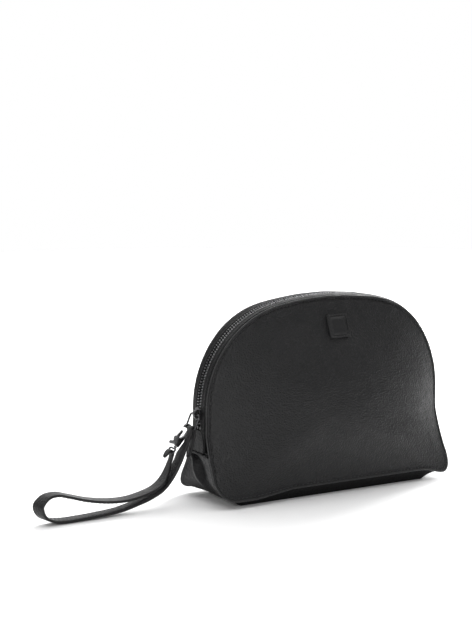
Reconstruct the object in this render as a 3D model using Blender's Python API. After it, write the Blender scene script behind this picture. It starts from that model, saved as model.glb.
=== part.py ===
"""Dome makeup bag with a zip gusset and a clip-on wrist strap. Metres, +Z up, front towards -Y.

The origin is the middle of the flat underside. The bag stands on its base and the strap lies to -X.
"""
import math

import bmesh
import bpy
from mathutils import Vector

# Driving dimensions of the bag
HALF_WIDTH = 0.1130        # half width of the seam outline at its widest height
TOP_Z = 0.1637             # height of the seam at the crown
SEAM_Z = 0.0060            # height of the bottom seams
SHOULDER_Z = 0.0781        # where the shoulder arcs start
SHOULDER_R = 0.0825
CORNER_R = 0.0174
BASE_FLARE = 0.0019        # how much wider each side is at the base
TOP_HALF_DEPTH = 0.0115    # half the distance between the seams along the zip
BASE_HALF_DEPTH = 0.0380   # half the distance between the seams at the base
FLARE_Z = 0.0600           # below this height the gusset widens
ZIP_END_Z = 0.0440         # the zip gusset starts and ends at this height
PUFF = 0.0130              # how far the middle of a panel bulges
PANEL_CENTRE_Z = 0.0750

# Sheet thicknesses and clearances
LEATHER = 0.0012
FOAM = 0.0018
LINING = 0.0006
GAP = 0.0003
PIPING_R = 0.0011
BAND_T = 0.0024            # wrist strap, two layers of leather
BAND_W = 0.0120

# Zip
CHAIN_HALF = 0.0030        # outer edge of the teeth
CHAIN_SLOT = 0.00075       # inner edge of the teeth
FACING_EDGE = 0.0034
TEETH_HEIGHT = 0.0010
SLIDER_Z = 0.0743
SLIDER_L = 0.0106
SLIDER_W = 0.0086
PLATE_T = 0.0010           # each of the slider's two plates

# Pull ring, clasp and strap, in the bag's middle plane unless a Y is given
RING_PIVOT = Vector((-HALF_WIDTH - 0.0041, 0.0, SLIDER_Z))
RING_END = Vector((-0.1222, 0.0, 0.0628))
RING_HALF = 0.0073
WIRE_R = 0.0008
TAB_Y = -0.0026            # middle of the strap's folded end
TAB_W = 0.0070
CLASP_Y = 0.0044           # middle of the clasp
CLASP_T = 0.0026
BODY_END = 0.0176          # from the ring's bar to the end of the clasp's body
EYE_BAR = 0.0250           # from the ring's bar to the bar that the strap's other end folds round
EYE_HALF = 0.0046
EYE_W = 0.0064             # width of the strap where it folds round the eye

LEVER_PIN = (0.0122, 0.0032)   # along and aside of the clasp's lever pin
LEVER_PIN_R = 0.0005
LEVER_HOLE_R = 0.0008
CHEEK_T = 0.0004
HOOK_T = 0.0018
HOOK_PLAY = 0.0009         # between the clasp's hook and the ring's bar
POST_R = 0.0013
POST_END = BODY_END + 0.0016

# Badge, end tabs, zip stops and base board
BADGE_X = 0.0072
BADGE_Z = 0.1390
BADGE_HALF = 0.0100
BADGE_T = 0.0012
BADGE_CORNER = 0.0012
TAB_HEIGHT = 0.0170
TAB_HALF = 0.0088
TAB_T = 0.0010
STOP_L = 0.0024
STOP_DROP = 0.0075         # from the slider's lower end to the stops
BOARD_HALF_X = 0.0760
BOARD_HALF_Y = 0.0220
BOARD_CORNER = 0.0080
BOARD_LOW = 0.0016
BOARD_HIGH = 0.0030

# Insets of the inner layers from the seam
FOAM_INSET = 0.0040
LINING_INSET = 0.0060
BASE_LINING_INSET = 0.0100
TAPE_EDGE = 0.0085
ZIP_LINING_EDGES = (0.0052, 0.0100)
LAYER_GAP = 0.0009         # play between the layers of a panel

# Shape of the soft base: how its sides fold inwards and how it rests
FOLD_IN = 0.0085
REST_SHARE = 0.22          # share of the half depth over which the base comes down to the floor

OUTLINE_STEPS = 30         # points on the half outline
LINING_STEPS = 20
PANEL_RINGS = (1.0, 0.93, 0.82, 0.66, 0.47, 0.27, 0.10)
LINING_RINGS = (1.0, 0.88, 0.70, 0.45, 0.15)


# ---------------------------------------------------------------- helpers
def material(name, colour, roughness, metallic=0.0):
    mat = bpy.data.materials.new(name)
    mat.use_nodes = True
    shader = mat.node_tree.nodes["Principled BSDF"]
    shader.inputs["Base Color"].default_value = (*colour, 1.0)
    shader.inputs["Roughness"].default_value = roughness
    shader.inputs["Metallic"].default_value = metallic
    return mat


LOOKS = {
    "leather": ((0.016, 0.016, 0.017), 0.48, 0.0),
    "lining": ((0.030, 0.030, 0.032), 0.85, 0.0),
    "foam": ((0.250, 0.245, 0.235), 0.95, 0.0),
    "tape": ((0.018, 0.018, 0.019), 0.80, 0.0),
    "metal": ((0.100, 0.100, 0.105), 0.32, 1.0),
    "board": ((0.300, 0.250, 0.190), 0.90, 0.0),
}


def finish(name, mesh, look):
    obj = bpy.data.objects.new(name, mesh)
    bpy.context.scene.collection.objects.link(obj)
    mesh.materials.append(material(name, *LOOKS[look]))
    return obj


def solid(name, verts, faces, look, pivot=None):
    """A closed body from points and faces, with its origin moved to the pivot if there is one."""
    bm = bmesh.new()
    made = [bm.verts.new(v) for v in verts]
    for face in faces:
        bm.faces.new([made[i] for i in face])
    bmesh.ops.recalc_face_normals(bm, faces=bm.faces)
    if bm.calc_volume(signed=True) < 0:
        bmesh.ops.reverse_faces(bm, faces=bm.faces)
    if pivot is not None:
        bmesh.ops.translate(bm, vec=-Vector(pivot), verts=bm.verts)
    mesh = bpy.data.meshes.new(name)
    bm.to_mesh(mesh)
    bm.free()
    mesh.shade_smooth()
    mesh.set_sharp_from_angle(angle=math.radians(35))
    obj = finish(name, mesh, look)
    if pivot is not None:
        obj.location = pivot
    return obj


def sheet(name, outer, inner, look):
    """A sheet with thickness between two equal grids of points, closed along all four sides."""
    rows, cols = len(outer), len(outer[0])
    verts = [p for row in outer for p in row] + [p for row in inner for p in row]
    half = rows * cols
    faces = []
    for i in range(rows - 1):
        for j in range(cols - 1):
            a, b = i * cols + j, (i + 1) * cols + j
            faces.append((a, b, b + 1, a + 1))
            faces.append((half + a, half + a + 1, half + b + 1, half + b))
    rim = list(range(cols))
    rim += [i * cols + cols - 1 for i in range(1, rows)]
    rim += [(rows - 1) * cols + j for j in range(cols - 2, -1, -1)]
    rim += [i * cols for i in range(rows - 2, 0, -1)]
    for k, a in enumerate(rim):
        b = rim[(k + 1) % len(rim)]
        faces.append((a, b, half + b, half + a))
    return solid(name, verts, faces, look)


def rounded_rectangle(half_u, half_v, corner, steps):
    outline = []
    for u, v, start in ((1, 1, 0), (-1, 1, 90), (-1, -1, 180), (1, -1, 270)):
        for i in range(steps + 1):
            turn = math.radians(start + 90 * i / steps)
            outline.append((u * (half_u - corner) + corner * math.cos(turn),
                            v * (half_v - corner) + corner * math.sin(turn)))
    return outline


def circle(radius, along=0.0, aside=0.0):
    turns = [2 * math.pi * k / 12 for k in range(12)]
    return [(along + radius * math.cos(a), aside + radius * math.sin(a)) for a in turns]


def prism(name, outline, place, low, high, look, pivot=None):
    """A flat outline of (u, v) pairs, put in space by place(u, v, height) and given two heights."""
    count = len(outline)
    verts = [place(u, v, low) for u, v in outline] + [place(u, v, high) for u, v in outline]
    faces = [tuple(range(count)), tuple(range(2 * count - 1, count - 1, -1))]
    faces += [(i, (i + 1) % count, count + (i + 1) % count, count + i) for i in range(count)]
    return solid(name, verts, faces, look, pivot)


def combine(obj, others, operation):
    """Joins other solids to obj, or cuts them from it, with exact Booleans, and removes them."""
    for other in others:
        cut = obj.modifiers.new("join", "BOOLEAN")
        cut.operation = operation
        cut.solver = "EXACT"
        cut.object = other
        deps = bpy.context.evaluated_depsgraph_get()
        joined = bpy.data.meshes.new_from_object(obj.evaluated_get(deps))
        obj.modifiers.clear()
        obj.data = joined
        bpy.data.objects.remove(other)
    return obj


def wire(name, points, radius, look, sides=2, cyclic=True):
    """A round wire along a list of points."""
    curve = bpy.data.curves.new(name, "CURVE")
    curve.dimensions = "3D"
    curve.bevel_depth = radius
    curve.bevel_resolution = sides
    curve.use_fill_caps = not cyclic
    spline = curve.splines.new("POLY")
    spline.points.add(len(points) - 1)
    for slot, p in zip(spline.points, points):
        slot.co = (*p, 1.0)
    spline.use_cyclic_u = cyclic
    obj = bpy.data.objects.new(name, curve)
    bpy.context.scene.collection.objects.link(obj)
    curve.materials.append(material(name, *LOOKS[look]))
    return obj


# ---------------------------------------------------------------- outline of the seams
def crown_arc():
    """Radius and centre height of the top arc that meets both shoulder arcs smoothly."""
    reach = HALF_WIDTH - SHOULDER_R
    drop = SHOULDER_Z - TOP_Z
    radius = (SHOULDER_R ** 2 - reach ** 2 - drop ** 2) / (2 * (drop + SHOULDER_R))
    return radius, TOP_Z - radius


CROWN_R, CROWN_Z = crown_arc()
SHOULDER_X = HALF_WIDTH - SHOULDER_R
SHOULDER_TURN = math.atan2(SHOULDER_Z - CROWN_Z, SHOULDER_X)


def side_x(z):
    """Half width below the shoulders: it widens a little towards the base."""
    low = max(0.0, (SHOULDER_Z - z) / SHOULDER_Z)
    return HALF_WIDTH + BASE_FLARE * low ** 1.3


def half_outline():
    """Dense (x, z) points from the middle of the bottom seam up the +X side to the crown."""
    corner_z = SEAM_Z + CORNER_R
    foot_x = side_x(corner_z)
    points = [(foot_x - CORNER_R) * i / 30 for i in range(30)]
    points = [(x, SEAM_Z) for x in points]
    for i in range(12):
        turn = math.radians(90 * i / 12)
        points.append((foot_x - CORNER_R * (1 - math.sin(turn)), corner_z - CORNER_R * math.cos(turn)))
    for i in range(20):
        z = corner_z + (SHOULDER_Z - corner_z) * i / 20
        points.append((side_x(z), z))
    for i in range(40):
        turn = SHOULDER_TURN * i / 40
        points.append((SHOULDER_X + SHOULDER_R * math.cos(turn), SHOULDER_Z + SHOULDER_R * math.sin(turn)))
    for i in range(21):
        turn = SHOULDER_TURN + (math.pi / 2 - SHOULDER_TURN) * i / 20
        points.append((CROWN_R * math.cos(turn), CROWN_Z + CROWN_R * math.sin(turn)))
    return points


DENSE = half_outline()


def resample(points, count):
    """The given number of points, equally spaced along a polyline."""
    length = [0.0]
    for p, q in zip(points, points[1:]):
        length.append(length[-1] + math.dist(p, q))
    out = []
    k = 0
    for i in range(count):
        want = length[-1] * i / (count - 1)
        while k < len(points) - 2 and length[k + 1] < want:
            k += 1
        part = (want - length[k]) / (length[k + 1] - length[k])
        out.append(tuple(a + (b - a) * part for a, b in zip(points[k], points[k + 1])))
    return out


def loop_outline(count):
    """The whole seam outline, a closed list of (x, z)."""
    half = resample(DENSE, count)
    return half + [(-x, z) for x, z in reversed(half[1:-1])]


def split_outline(count, above):
    """The open stretch of the outline above or below ZIP_END_Z, from -X to +X."""
    part = [p for p in DENSE if (p[1] >= ZIP_END_Z) == above]
    end = (side_x(ZIP_END_Z), ZIP_END_Z)
    part = [end] + part if above else list(reversed(part + [end]))
    half = resample(part, count)
    return [(-x, z) for x, z in half] + list(reversed(half[:-1]))


def outward(path):
    """Unit normals of an open (x, z) path that point away from the bag."""
    out = []
    for i in range(len(path)):
        x0, z0 = path[max(i - 1, 0)]
        x1, z1 = path[min(i + 1, len(path) - 1)]
        size = math.hypot(x1 - x0, z1 - z0)
        nx, nz = -(z1 - z0) / size, (x1 - x0) / size
        x, z = path[i]
        if nx * x + nz * (z - PANEL_CENTRE_Z) < 0:
            nx, nz = -nx, -nz
        out.append((nx, nz))
    return out


def seam_depth(z):
    """Half distance between front and back seams at a height."""
    low = max(0.0, (FLARE_Z - z) / FLARE_Z)
    return TOP_HALF_DEPTH + (BASE_HALF_DEPTH - TOP_HALF_DEPTH) * low ** 1.3


# ---------------------------------------------------------------- panels
def middle_depth(z):
    """Half depth of the bag at x = 0, over the puffed middle of the panel."""
    t = min(max((z - SEAM_Z) / (TOP_Z - SEAM_Z), 0.0), 1.0)
    lean = TOP_HALF_DEPTH + (BASE_HALF_DEPTH - TOP_HALF_DEPTH) * (1 - t)
    return lean + PUFF * (1 - abs(2 * t - 1) ** 2.6)


def rim_slants(ring):
    """For each point of a closed ring, how squarely the line from the panel's centre meets the ring."""
    out = []
    for k, (x, z) in enumerate(ring):
        x0, z0 = ring[k - 1]
        x1, z1 = ring[(k + 1) % len(ring)]
        cross = (x1 - x0) * (z - PANEL_CENTRE_Z) - (z1 - z0) * x
        out.append(abs(cross) / math.hypot(x1 - x0, z1 - z0) / math.hypot(x, z - PANEL_CENTRE_Z))
    return out


def panel_point(x, z, slant, scale, inset, depth):
    """A point of a panel layer: scale 1 is the seam, inset moves its rim in, depth moves it inwards."""
    reach = math.hypot(x, z - PANEL_CENTRE_Z)
    s = scale * (1 - inset / (reach * slant))
    px = x * s
    pz = PANEL_CENTRE_Z + (z - PANEL_CENTRE_Z) * s
    edge = seam_depth(pz)
    y = edge + (middle_depth(pz) - edge) * (1 - s ** 2.6)
    return Vector((px, -(y - depth), pz))


def face_depth(z):
    """Half depth of the bag's outer face near x = 0."""
    edge = seam_depth(z)
    s = abs(z - PANEL_CENTRE_Z) / (TOP_Z - PANEL_CENTRE_Z)
    return edge + (middle_depth(z) - edge) * (1 - s ** 2.6)


def panel_layer(name, look, side, inset, depth, thickness, count, rings):
    """One layer of the front (side 1) or back (side -1) panel."""
    ring = loop_outline(count)
    slants = rim_slants(ring)
    grids = []
    for level in (depth, depth + thickness):
        grid = [[panel_point(x, z, k, s, inset, level) for (x, z), k in zip(ring, slants)] for s in rings]
        grids.append([[Vector((p.x, p.y * side, p.z)) for p in row] for row in grid])
    around, deep = len(ring), len(rings)
    verts = [p for grid in grids for row in grid for p in row]
    half = around * deep
    faces = []
    for i in range(deep - 1):
        for j in range(around):
            a, b = i * around + j, i * around + (j + 1) % around
            faces.append((a, b, b + around, a + around))
            faces.append((half + a, half + a + around, half + b + around, half + b))
    for j in range(around):
        b = (j + 1) % around
        faces.append((j, half + j, half + b, b))
    centre = (deep - 1) * around
    faces.append(tuple(centre + j for j in range(around)))
    faces.append(tuple(half + centre + j for j in reversed(range(around))))
    return solid(name, verts, faces, look)


def panels():
    for label, side in (("front", 1), ("back", -1)):
        inset = PIPING_R + GAP
        panel_layer(label + "_panel", "leather", side, inset, 0.0, LEATHER, OUTLINE_STEPS, PANEL_RINGS)
        depth = LEATHER + LAYER_GAP
        panel_layer(label + "_foam", "foam", side, FOAM_INSET, depth, FOAM, LINING_STEPS, LINING_RINGS)
        depth += FOAM + LAYER_GAP
        panel_layer(label + "_lining", "lining", side, LINING_INSET, depth, LINING, LINING_STEPS,
                    LINING_RINGS)
        ring = [(x, -side * seam_depth(z), z) for x, z in loop_outline(OUTLINE_STEPS)]
        wire(label + "_piping", ring, PIPING_R, "leather", sides=1)


# ---------------------------------------------------------------- gusset strips
def strip(name, look, path, edges, top, thickness, across=2, lift=None):
    """A strip along the gusset. edges(z) gives its two Y edges, top its height over the outline."""
    normals = outward(path)
    grids = []
    for level in (top, top - thickness):
        grid = []
        for (x, z), (nx, nz) in zip(path, normals):
            y0, y1 = edges(z)
            row = []
            for j in range(across):
                y = y0 + (y1 - y0) * j / (across - 1)
                rise = level + (lift(x, z, y) if lift else 0.0)
                row.append(Vector((x + nx * rise, y, z + nz * rise)))
            grid.append(row)
        grids.append(grid)
    return sheet(name, grids[0], grids[1], look)


def zip_gusset():
    path = split_outline(25, True)
    chain = [p for p in path if p[1] > SLIDER_Z - SLIDER_L / 2 - 0.004]
    lining_top = -LEATHER - LINING - 2 * GAP
    for label, side in (("front", -1), ("back", 1)):
        outer = TOP_HALF_DEPTH - PIPING_R - GAP

        def edges(low, high, side=side):
            return lambda z: (side * low, side * high)

        strip(label + "_zip_facing", "leather", path, edges(FACING_EDGE, outer), 0.0, LEATHER)
        strip(label + "_zip_tape", "tape", path, edges(CHAIN_SLOT + GAP, TAPE_EDGE), -LEATHER - GAP, LINING)
        strip(label + "_zip_lining", "lining", path, edges(*ZIP_LINING_EDGES), lining_top - GAP, LINING)
        strip(label + "_zip_teeth", "metal", chain, edges(CHAIN_SLOT, CHAIN_HALF), TEETH_HEIGHT,
              TEETH_HEIGHT + LEATHER)


def zip_stops():
    """Two metal stops below the slider and one retainer at the far end of the chain."""
    def place(sign):
        return lambda u, v, h: Vector((sign * (side_x(SLIDER_Z) + h), u, v))

    low = SLIDER_Z - SLIDER_L / 2 - STOP_DROP
    for label, side in (("front_top_stop", -1), ("back_top_stop", 1)):
        near, far = side * (CHAIN_SLOT + GAP), side * CHAIN_HALF
        outline = [(near, low), (far, low), (far, low + STOP_L), (near, low + STOP_L)]
        prism(label, outline, place(-1), -LEATHER + 0.0001, TEETH_HEIGHT, "metal")
    high = low + STOP_L
    outline = [(-CHAIN_HALF, low), (CHAIN_HALF, low), (CHAIN_HALF, high), (-CHAIN_HALF, high)]
    prism("bottom_stop", outline, place(1), -LEATHER + 0.0001, TEETH_HEIGHT, "metal")


def base_lift(x, z, y):
    """The base bulges down to the floor, and each side folds inwards along its middle."""
    edge = seam_depth(z) - PIPING_R - GAP
    across = min(abs(y) / edge, 1.0)
    flat = SEAM_Z * min(1.0, (1 - across) / REST_SHARE)
    toe = side_x(SEAM_Z) - CORNER_R
    under = min(max((toe + 0.008 - abs(x)) / 0.016, 0.0), 1.0)
    height = min(max((ZIP_END_Z - z) / (ZIP_END_Z - SEAM_Z), 0.0), 1.0)
    fold = -FOLD_IN * math.sin(math.pi * min(height * 1.15, 1.0)) * (1 - across) ** 1.2
    return flat * under ** 1.5 + fold


def base_gusset():
    path = split_outline(19, False)

    def edges(inset):
        return lambda z: (-(seam_depth(z) - inset), seam_depth(z) - inset)

    rim = PIPING_R + GAP
    strip("base_gusset", "leather", path, edges(rim), 0.0, LEATHER, 13, base_lift)
    lining_drop = LEATHER + GAP

    def lining_lift(x, z, y):
        under = 1.0 if z < SEAM_Z + 0.001 else 0.0
        return base_lift(x, z, y) - 0.0030 * under

    top = -lining_drop - 0.0010
    strip("base_lining", "lining", path, edges(BASE_LINING_INSET), top, LINING, 7, lining_lift)
    outline = rounded_rectangle(BOARD_HALF_X, BOARD_HALF_Y, BOARD_CORNER, 4)
    prism("base_board", outline, lambda u, v, h: Vector((u, v, h)), BOARD_LOW, BOARD_HIGH, "board")


def end_tabs():
    """A round-topped leather tab over each end of the zip."""
    foot = ZIP_END_Z - LEATHER
    outline = [(-TAB_HALF, foot), (TAB_HALF, foot)]
    for i in range(9):
        turn = math.pi * i / 8
        outline.append((TAB_HALF * math.cos(turn), ZIP_END_Z + TAB_HEIGHT * (0.45 + 0.55 * math.sin(turn))))
    for label, sign in (("left_end_tab", -1), ("right_end_tab", 1)):
        def place(u, v, h, sign=sign):
            return Vector((sign * (side_x(v) + h), u, v))
        prism(label, outline, place, GAP, GAP + TAB_T, "leather")


def badge():
    """A small square leather patch on the upper front panel, tilted with the panel."""
    slope = (face_depth(BADGE_Z + BADGE_HALF) - face_depth(BADGE_Z - BADGE_HALF)) / (2 * BADGE_HALF)
    up = Vector((0, -slope, 1)).normalized()
    out = Vector((0, -up.z, up.y))
    centre = Vector((BADGE_X, -face_depth(BADGE_Z), BADGE_Z)) + out * (GAP + 0.0002)
    outline = rounded_rectangle(BADGE_HALF, BADGE_HALF, BADGE_CORNER, 2)

    def place(u, v, h):
        return centre + Vector((u, 0, 0)) + up * v + out * h

    prism("badge", outline, place, 0.0, BADGE_T, "leather")


# ---------------------------------------------------------------- slider and ring
def slider_place(travel, across, height):
    """Slider axes: travel is +Z, across is Y, height stands off the bag's left side."""
    return Vector((-HALF_WIDTH - height, across, SLIDER_Z + travel))


def slider():
    half_l, half_w = SLIDER_L / 2, SLIDER_W / 2
    plate = [(-half_l, -half_w * 0.80), (-half_l, half_w * 0.80), (-half_l * 0.55, half_w),
             (half_l * 0.35, half_w), (half_l, half_w * 0.72), (half_l, -half_w * 0.72),
             (half_l * 0.35, -half_w), (-half_l * 0.55, -half_w)]
    pivot = Vector((-SHOULDER_X, 0.0, SHOULDER_Z))
    plate_low = TEETH_HEIGHT + GAP + 0.0001
    under_high = -LEATHER - LINING - 4 * GAP - 0.0001
    body = prism("slider_body", plate, slider_place, plate_low, plate_low + PLATE_T, "metal", pivot)
    under = prism("under", plate, slider_place, under_high - PLATE_T, under_high, "metal")
    neck = CHAIN_SLOT - GAP
    stem = [(-0.0022, -neck), (0.0022, -neck), (0.0022, neck), (-0.0022, neck)]
    post = prism("post", stem, slider_place, under_high - 0.0004, plate_low + 0.0004, "metal")
    combine(body, [post, under], "UNION")

    # the bridge is an arch along the travel, with the ring's bar running under it
    foot = plate_low + PLATE_T + GAP
    centre = -RING_PIVOT.x - HALF_WIDTH
    hole = WIRE_R + 0.0005
    outer, inner = [], []
    for i in range(9):
        turn = math.pi * i / 8
        outer.append(((hole + 0.0010) * math.cos(turn) * 1.5, centre + (hole + 0.0009) * math.sin(turn)))
        inner.append((hole * math.cos(turn), centre + hole * math.sin(turn)))
    outline = [(outer[0][0], foot)] + outer + [(outer[-1][0], foot), (inner[-1][0], foot)]
    outline += list(reversed(inner)) + [(inner[0][0], foot)]
    prism("slider_bridge", outline, lambda u, v, h: slider_place(u, h, v), -0.0016, 0.0016, "metal", pivot)


def pull_ring():
    """A rounded trapezoid of wire: one bar under the bridge, the other holds the strap."""
    down = RING_END - RING_PIVOT
    points = []
    corner = 0.0020
    ends = ((0.0, RING_HALF), (1.0, RING_HALF * 0.98))
    for t, half in ends:
        for side in ((1, -1) if t == 0.0 else (-1, 1)):
            base = RING_PIVOT + down * t
            inward = down.normalized() * corner * (1 if t == 0.0 else -1)
            across = Vector((0, side, 0))
            first = base + across * (half - corner)
            last = base + across * half + inward
            middle = base + across * (half - corner * 0.29) + inward * 0.29
            points += [first, middle, last] if (t == 0.0) == (side < 0) else [last, middle, first]
    obj = wire("pull_ring", [p - RING_PIVOT for p in points], WIRE_R, "metal", sides=2)
    obj.location = RING_PIVOT


# ---------------------------------------------------------------- strap
def smooth_route(points, steps):
    """Catmull-Rom curve through a list of points."""
    ends = [points[0] * 2 - points[1]] + points + [points[-1] * 2 - points[-2]]
    out = []
    for p0, p1, p2, p3 in zip(ends, ends[1:], ends[2:], ends[3:]):
        for k in range(steps):
            t = k / steps
            out.append(0.5 * (2 * p1 + (p2 - p0) * t + (2 * p0 - 5 * p1 + 4 * p2 - p3) * t * t
                              + (3 * p1 - p0 - 3 * p2 + p3) * t ** 3))
    out.append(points[-1])
    return out


CLASP_AXIS = Vector((-0.0178, 0.0, -0.0208)).normalized()
CLASP_SIDE = Vector((CLASP_AXIS.z, 0.0, -CLASP_AXIS.x))

# The strap's middle line as (x, z) in millimetres, from the clasp's eye round the hand loop to the ring.
# Hand-chosen: the loop lies on the surface the bag stands on and rises to the slider.
STRAP_ROUTE = [
    (-138.8, 36.4), (-144.5, 27.0), (-152.0, 19.6), (-162.2, 15.2), (-179.5, 12.0), (-197.0, 12.6),
    (-215.0, 16.0), (-232.0, 21.2), (-240.8, 23.6), (-249.5, 22.8), (-255.6, 17.8), (-256.4, 13.0),
    (-253.0, 7.0), (-245.5, 3.2), (-236.0, 1.8), (-224.0, 1.8), (-206.5, 2.4), (-188.5, 3.8), (-172.5, 7.2),
    (-160.0, 11.0), (-149.4, 16.2), (-141.2, 24.6), (-134.4, 35.4), (-128.9, 47.4), (-125.8, 55.8),
]
STRAP_STEPS = 3
# How far the band is turned at the end of the hand loop, by the number of the point on the route.
ROLL = {10: 0.34, 11: 0.36, 12: 0.26, 9: 0.20, 13: 0.12}


def fold(centre, radius, first, last):
    """Points of a fold round a bar, as angles in degrees seen from the front."""
    turns = [math.radians(first + (last - first) * k / 4) for k in range(5)]
    return [centre + Vector((radius * math.cos(a), 0.0, radius * math.sin(a))) for a in turns]


def strap_line():
    """Middle line, width direction and width at each step of the strap."""
    loop = [Vector((x * 0.001, 0.0, z * 0.001)) for x, z in STRAP_ROUTE]
    fold_r = WIRE_R + GAP + 0.0002 + BAND_T * 0.36
    eye = RING_END + CLASP_AXIS * EYE_BAR
    start = [eye + CLASP_AXIS * 0.0060 + CLASP_SIDE * fold_r] + fold(eye, fold_r, 140, -40)
    tail = [Vector((-0.1213, 0.0, 0.0560)), Vector((-0.1232, 0.0, 0.0480)), Vector((-0.1262, 0.0, 0.0395))]
    marks = start + loop + fold(RING_END, fold_r, 205, -15) + tail
    line = smooth_route(marks, STRAP_STEPS)
    first, last = len(start), len(start) + len(loop)
    rows = []
    for i, p in enumerate(line):
        mark = i / STRAP_STEPS
        near = int(mark)
        part = mark - near
        roll = ROLL.get(near - first, 0.0) * (1 - part) + ROLL.get(near + 1 - first, 0.0) * part
        to_ring = min(max((mark - last + 2.4) / 0.9, 0.0), 1.0)
        to_eye = min(max((first + 1.5 - mark) / 1.5, 0.0), 1.0)
        width = BAND_W + (TAB_W - BAND_W) * to_ring + (EYE_W - BAND_W) * to_eye
        thick = BAND_T * (1 - 0.28 * max(to_ring, to_eye))
        shift = TAB_Y * to_ring + CLASP_Y * to_eye
        rows.append((p + Vector((0, shift, 0)), roll, width, thick))
    return rows


def strap_band():
    rows = strap_line()
    count = len(rows)
    verts = []
    for i, (p, roll, width, thick) in enumerate(rows):
        ahead = rows[min(i + 1, count - 1)][0] - rows[max(i - 1, 0)][0]
        ahead = Vector((ahead.x, 0.0, ahead.z)).normalized()
        across = Vector((-roll, math.sqrt(1 - roll * roll), 0.0))
        across = (across - ahead * across.dot(ahead)).normalized()
        out = ahead.cross(across)
        end = min(i, count - 1 - i)
        half = width / 2 * (0.62, 0.93, 1.0)[min(end, 2)]
        for u, v in ((-1, -1), (1, -1), (1, 1), (-1, 1)):
            verts.append(p + across * (u * half) + out * (v * thick / 2))
    faces = [(3, 2, 1, 0), tuple(4 * (count - 1) + k for k in range(4))]
    for i in range(count - 1):
        for k in range(4):
            a, b = 4 * i + k, 4 * i + (k + 1) % 4
            faces.append((a, b, b + 4, a + 4))
    return solid("strap_band", verts, faces, "leather", RING_END)


# ---------------------------------------------------------------- clasp
def clasp_place(along, aside, across):
    """Clasp axes: along runs from the ring to the eye, aside points up and away from the bag."""
    return RING_END + CLASP_AXIS * along + CLASP_SIDE * aside + Vector((0, CLASP_Y + across, 0))


def clasp_cylinder(name, along, aside, radius, half):
    """A round bar across the clasp."""
    return prism(name, circle(radius, along, aside), clasp_place, -half, half, "metal", RING_END)


def clasp():
    """A trigger clasp: a hook round the ring's bar, and a body with two cheeks that hold the pin."""
    hook_in = WIRE_R + HOOK_PLAY
    hook_out = hook_in + HOOK_T
    arc = [math.radians(65 + 170 * k / 9) for k in range(10)]
    outline = [(hook_out * math.cos(a), hook_out * math.sin(a)) for a in arc]
    outline += [(0.0050, -0.0034), (BODY_END, -0.0030), (BODY_END, 0.0006), (0.0115, 0.0006),
                (0.0065, -0.0018)]
    outline += [(hook_in * math.cos(a), hook_in * math.sin(a)) for a in reversed(arc)]
    half = CLASP_T / 2
    body = prism("clasp_body", outline, clasp_place, -half, half, "metal", RING_END)
    along, aside = LEVER_PIN
    cheek = [(along - 0.0018, 0.0), (along + 0.0018, 0.0), (along + 0.0016, aside + 0.0012),
             (along, aside + 0.0017), (along - 0.0016, aside + 0.0012)]
    cheeks = [prism("cheek", cheek, clasp_place, low, low + CHEEK_T, "metal", RING_END)
              for low in (-half, half - CHEEK_T)]
    combine(body, cheeks, "UNION")
    combine(body, [clasp_cylinder("pin_hole", along, aside, LEVER_HOLE_R, CLASP_T)], "DIFFERENCE")
    clasp_cylinder("lever_pin", along, aside, LEVER_PIN_R, half + 0.0002)


def lever():
    """The clasp's sprung lever with its thumb knob."""
    along, aside = LEVER_PIN
    half = 0.0006
    outline = [(0.0040, 0.0016), (0.0060, 0.0014), (0.0110, 0.0012), (BODY_END - 0.0010, 0.0012),
               (BODY_END + 0.0004, 0.0030)]
    knob = [math.radians(-60 + 240 * k / 6) for k in range(7)]
    outline += [(BODY_END - 0.0002 + 0.0015 * math.cos(a), 0.0052 + 0.0015 * math.sin(a)) for a in knob]
    outline += [(BODY_END - 0.0026, 0.0038), (along + 0.0015, aside + 0.0014), (0.0095, 0.0040),
                (0.0042, 0.0030)]
    pivot = clasp_place(along, aside, 0.0)
    arm = prism("clasp_lever", outline, clasp_place, -half, half, "metal", pivot)
    combine(arm, [clasp_cylinder("lever_hole", along, aside, LEVER_HOLE_R, CLASP_T)], "DIFFERENCE")


def swivel():
    """A short post on the clasp's axis, and the eye that the strap folds round."""
    def place(u, v, h):
        return clasp_place(h, u - 0.0010, v)

    prism("swivel_post", circle(POST_R), place, BODY_END + GAP, POST_END, "metal", RING_END)
    near, far, corner = POST_END + GAP + WIRE_R, EYE_BAR, 0.0012
    ring = [(near, -EYE_HALF + corner), (near, EYE_HALF - corner), (near + corner, EYE_HALF),
            (far - corner, EYE_HALF), (far, EYE_HALF - corner), (far, -EYE_HALF + corner),
            (far - corner, -EYE_HALF), (near + corner, -EYE_HALF)]
    eye = wire("clasp_eye", [clasp_place(u, 0.0, v) - RING_END for u, v in ring], WIRE_R, "metal", sides=2)
    eye.location = RING_END


def main():
    for old in list(bpy.data.objects):
        bpy.data.objects.remove(old)
    panels()
    zip_gusset()
    zip_stops()
    base_gusset()
    end_tabs()
    badge()
    slider()
    pull_ring()
    strap_band()
    clasp()
    lever()
    swivel()


main()
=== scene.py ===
"""Looks of the dome makeup bag: soft leather panels, sewn seams, a metal zip and a clip-on wrist strap."""
import math

import bmesh
import bpy
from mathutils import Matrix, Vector, noise


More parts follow.
